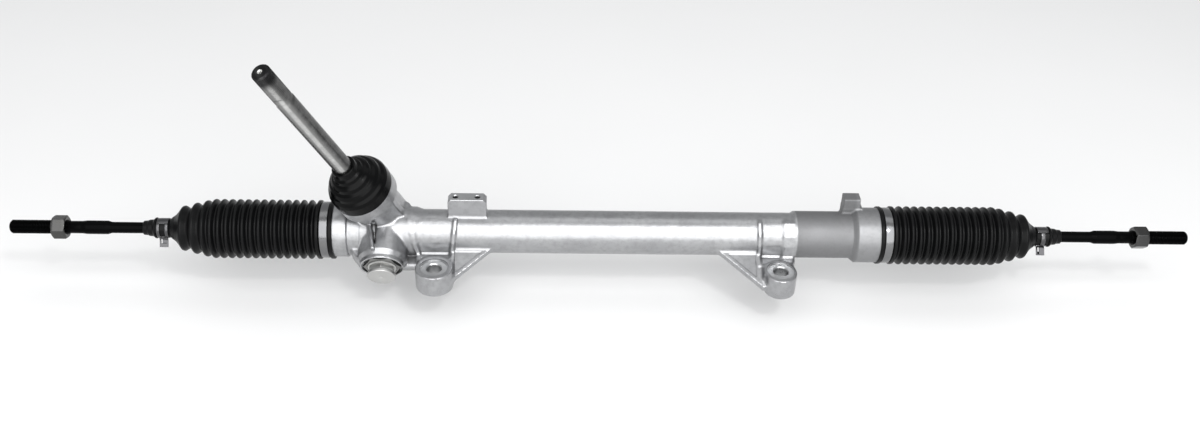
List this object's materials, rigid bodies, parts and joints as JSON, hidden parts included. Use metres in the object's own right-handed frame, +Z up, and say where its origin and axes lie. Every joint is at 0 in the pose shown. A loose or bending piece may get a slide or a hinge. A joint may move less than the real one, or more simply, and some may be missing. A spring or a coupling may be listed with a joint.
{
  "type": "steering rack",
  "caption": "Mechanical rack-and-pinion steering gear with cast housing, long input shaft, bellows and threaded tie rods; turning the shaft slides the rack.",
  "frame": {"origin": "middle of the two mounting bolts, on the underside of their bosses", "axes": "+X along the rack towards its plain end, +Y from the mounting bolts towards the rack, +Z up along the mounting bolts"},
  "size_m": [1.202, 0.1463, 0.2718],
  "materials": {
    "cast_aluminium": "satin",
    "rack_steel": "satin",
    "shaft_steel": "satin",
    "bearing_steel": "gloss",
    "bearing_cage": "satin",
    "spring_steel": "satin",
    "boot_rubber": "matte",
    "seal_rubber": "matte",
    "clamp_steel": "satin",
    "black_rod_steel": "satin",
    "zinc_nut": "satin",
    "socket_steel": "satin",
    "seat_plastic": "matte",
    "liner_plastic": "matte",
    "plug_steel": "satin"
  },
  "bodies": {
    "housing": {"housing": "cast_aluminium", "pinion_bearing_outer": "bearing_steel", "bearing_snap_ring": "spring_steel", "pinion_oil_seal": "seal_rubber", "pinion_dust_boot": "boot_rubber", "needle_bearing_cup": "bearing_steel", "pinion_end_cap": "plug_steel", "rack_yoke": "cast_aluminium", "yoke_liner": "liner_plastic", "yoke_o_ring": "seal_rubber", "yoke_spring": "spring_steel", "yoke_plug": "plug_steel", "yoke_lock_nut": "plug_steel", "rack_bush": "liner_plastic", "bush_o_rings": "seal_rubber", "bush_snap_ring": "spring_steel", "left_bellows": "boot_rubber", "right_bellows": "boot_rubber", "left_large_clamp": "clamp_steel", "right_large_clamp": "clamp_steel"},
    "rack": {"rack_bar": "rack_steel", "left_ball_socket": "socket_steel", "right_ball_socket": "socket_steel", "left_lock_washer": "spring_steel", "right_lock_washer": "spring_steel"},
    "pinion": {"pinion_shaft": "shaft_steel", "pinion_bearing_inner": "bearing_steel", "pinion_circlip": "spring_steel"},
    "ball_set": {"pinion_bearing_balls": "bearing_steel", "pinion_bearing_cage": "bearing_cage"},
    "needle_set": {"needle_rollers": "bearing_steel"},
    "left_seat": {"left_ball_seat": "seat_plastic"},
    "left_boot_end": {"left_small_clamp": "clamp_steel"},
    "left_rod": {"left_tie_rod": "black_rod_steel", "left_jam_nut": "zinc_nut"},
    "right_seat": {"right_ball_seat": "seat_plastic"},
    "right_boot_end": {"right_small_clamp": "clamp_steel"},
    "right_rod": {"right_tie_rod": "black_rod_steel", "right_jam_nut": "zinc_nut"}
  },
  "joints": [
    {"name": "rack_slide", "type": "slide", "parent": "housing", "child": "rack", "axis": [1, 0, 0], "range_m": [-0.072, 0.072], "deforming": ["left_bellows", "right_bellows"]},
    {"name": "pinion_spin", "type": "hinge", "parent": "housing", "child": "pinion", "pos_m": [-0.2248, 0.05978, 0.04142], "axis": [-0.3156, -0.401, 0.86], "range_deg": [-562, 562]},
    {"name": "ball_set_spin", "type": "hinge", "parent": "housing", "child": "ball_set", "pos_m": [-0.2248, 0.05978, 0.04142], "axis": [-0.3156, -0.401, 0.86], "range_deg": [-223, 223]},
    {"name": "needle_set_spin", "type": "hinge", "parent": "housing", "child": "needle_set", "pos_m": [-0.2248, 0.05978, 0.04142], "axis": [-0.3156, -0.401, 0.86], "range_deg": [-242, 242]},
    {"name": "left_rod_fore_aft", "type": "hinge", "parent": "rack", "child": "left_seat", "pos_m": [-0.395, 0.046, 0.035], "axis": [0, 0, 1], "range_deg": [-20, 20], "deforming": ["left_bellows"]},
    {"name": "left_rod_up_down", "type": "hinge", "parent": "left_seat", "child": "left_boot_end", "pos_m": [-0.395, 0.046, 0.035], "axis": [0, 1, 0], "range_deg": [-20, 20], "deforming": ["left_bellows"]},
    {"name": "left_rod_twist", "type": "hinge", "parent": "left_boot_end", "child": "left_rod", "pos_m": [-0.395, 0.046, 0.035], "axis": [1, 0, 0], "continuous": true},
    {"name": "right_rod_fore_aft", "type": "hinge", "parent": "rack", "child": "right_seat", "pos_m": [0.395, 0.046, 0.035], "axis": [0, 0, 1], "range_deg": [-20, 20], "deforming": ["right_bellows"]},
    {"name": "right_rod_up_down", "type": "hinge", "parent": "right_seat", "child": "right_boot_end", "pos_m": [0.395, 0.046, 0.035], "axis": [0, 1, 0], "range_deg": [-20, 20], "deforming": ["right_bellows"]},
    {"name": "right_rod_twist", "type": "hinge", "parent": "right_boot_end", "child": "right_rod", "pos_m": [0.395, 0.046, 0.035], "axis": [1, 0, 0], "continuous": true}
  ],
  "couplings": [
    {"joint": "pinion_spin", "follows": "rack_slide", "rad_per_m": 135.55},
    {"joint": "ball_set_spin", "follows": "rack_slide", "rad_per_m": 53.473},
    {"joint": "needle_set_spin", "follows": "rack_slide", "rad_per_m": 58.012}
  ]
}
